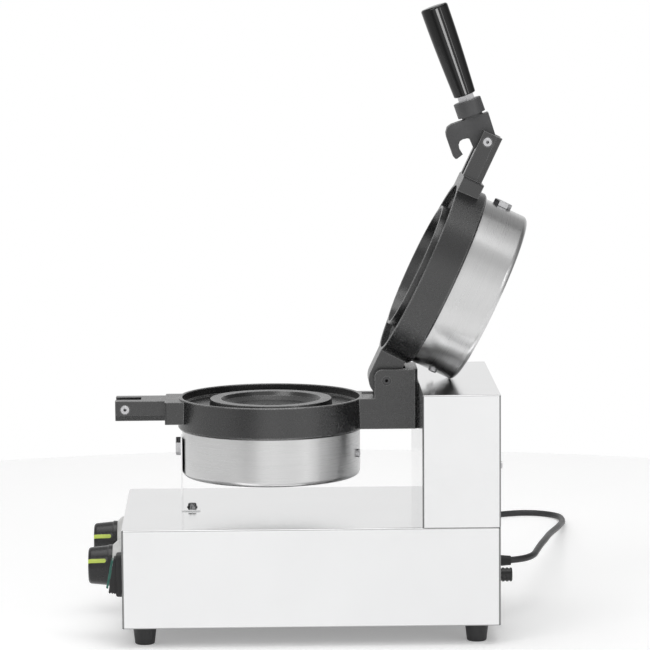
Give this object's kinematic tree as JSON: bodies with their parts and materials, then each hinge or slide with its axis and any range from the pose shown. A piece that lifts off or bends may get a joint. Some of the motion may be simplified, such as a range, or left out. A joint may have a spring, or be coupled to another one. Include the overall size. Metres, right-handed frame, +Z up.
{
  "type": "countertop burger press",
  "caption": "Countertop round burger press: open hinged lid with latch and handle, ringed plates on a polished box base with rear tower, knobs, rocker switch and mains cord",
  "frame": {"origin": "centre of the machine's footprint, on the table, without the cord", "axes": "+Z up, -Y towards the user (knob side), +X to the user's right"},
  "size_m": [0.7513, 0.5387, 0.639],
  "materials": {
    "polished_steel": "polished stainless sheet",
    "coated_casting": "black non-stick coating, fine grain",
    "brushed_casing": "brushed stainless, lines running round",
    "bright_steel": "bright zinc plated",
    "black_steel": "satin black coating",
    "black_gloss": "glossy moulded plastic",
    "black_matte": "matte moulded plastic",
    "lime_line": "inlaid lime line",
    "light_bezel": "light satin plastic",
    "green_lens": "translucent green",
    "rubber": "matte black rubber",
    "heater_tube": "dark sheathed tube",
    "brass_fixing": "plain brass",
    "terminal_plastic": "ivory plastic"
  },
  "bodies": {
    "base": {"housing_shell": "polished_steel", "bottom_plate": "polished_steel", "foot_front_left": "rubber", "foot_front_right": "rubber", "foot_rear_left": "rubber", "foot_rear_right": "rubber", "foot_screws": "bright_steel", "tower_shell": "polished_steel", "tower_rear_cover": "polished_steel", "rear_cover_screws": "bright_steel", "tower_fixing_screws": "bright_steel", "lower_plate": "coated_casting", "catch_pin": "bright_steel", "hinge_pin": "black_steel", "lower_casing": "brushed_casing", "lower_heater": "heater_tube", "lower_casing_bolt": "bright_steel", "lower_casing_screws": "bright_steel", "support_strip": "polished_steel", "support_strip_screw": "bright_steel", "hinge_block_bolts": "bright_steel", "timer_bezel": "light_bezel", "timer_body": "black_matte", "thermostat_bezel": "light_bezel", "thermostat_body": "black_matte", "switch_bezel": "black_matte", "switch_collar": "black_matte", "cord_gland": "black_matte", "reset_cap": "black_gloss", "thermal_cutout": "black_matte", "terminal_block": "terminal_plastic", "power_cord": "rubber", "power_cord_coil": "rubber", "plug_body": "rubber", "plug_pins": "brass_fixing"},
    "lid": {"upper_plate": "coated_casting", "upper_casing": "brushed_casing", "upper_heater": "heater_tube", "upper_casing_bolt": "bright_steel", "upper_casing_screws": "bright_steel"},
    "latch_carrier": {"latch_pivot_pin": "bright_steel"},
    "latch": {"latch_hook": "black_steel", "handle_stud": "bright_steel", "handle_nut": "bright_steel", "handle_grip": "black_gloss"},
    "timer_dial": {"timer_knob": "black_gloss", "timer_pointer": "lime_line", "timer_shaft": "bright_steel"},
    "thermostat_dial": {"thermostat_knob": "black_gloss", "thermostat_pointer": "lime_line", "thermostat_shaft": "bright_steel"},
    "rocker": {"switch_paddle": "green_lens"}
  },
  "joints": [
    {"name": "lid_hinge", "type": "hinge", "parent": "base", "child": "lid", "pos_m": [0, 0.07999, 0.2548], "axis": [1, 0, 0], "range_deg": [0, 114.6]},
    {"name": "latch_pin_turn", "type": "hinge", "parent": "lid", "child": "latch_carrier", "pos_m": [0, 0.18411, 0.49761], "axis": [1, 0, 0], "range_deg": [-74.5, 0]},
    {"name": "latch_hinge", "type": "hinge", "parent": "latch_carrier", "child": "latch", "pos_m": [0, 0.18411, 0.49761], "axis": [1, 0, 0], "range_deg": [-8, 31.4]},
    {"name": "timer_turn", "type": "hinge", "parent": "base", "child": "timer_dial", "pos_m": [-0.07, -0.21981, 0.074], "axis": [0, 1, 0], "range_deg": [0, 300]},
    {"name": "thermostat_turn", "type": "hinge", "parent": "base", "child": "thermostat_dial", "pos_m": [0.07, -0.21981, 0.074], "axis": [0, 1, 0], "range_deg": [0, 270]},
    {"name": "switch_rock", "type": "hinge", "parent": "base", "child": "rocker", "pos_m": [0.108, -0.19441, 0.0715], "axis": [1, 0, 0], "range_deg": [0, 22]}
  ],
  "couplings": [
    {"joint": "latch_pin_turn", "follows": "lid_hinge", "ratio": -0.6457}
  ]
}
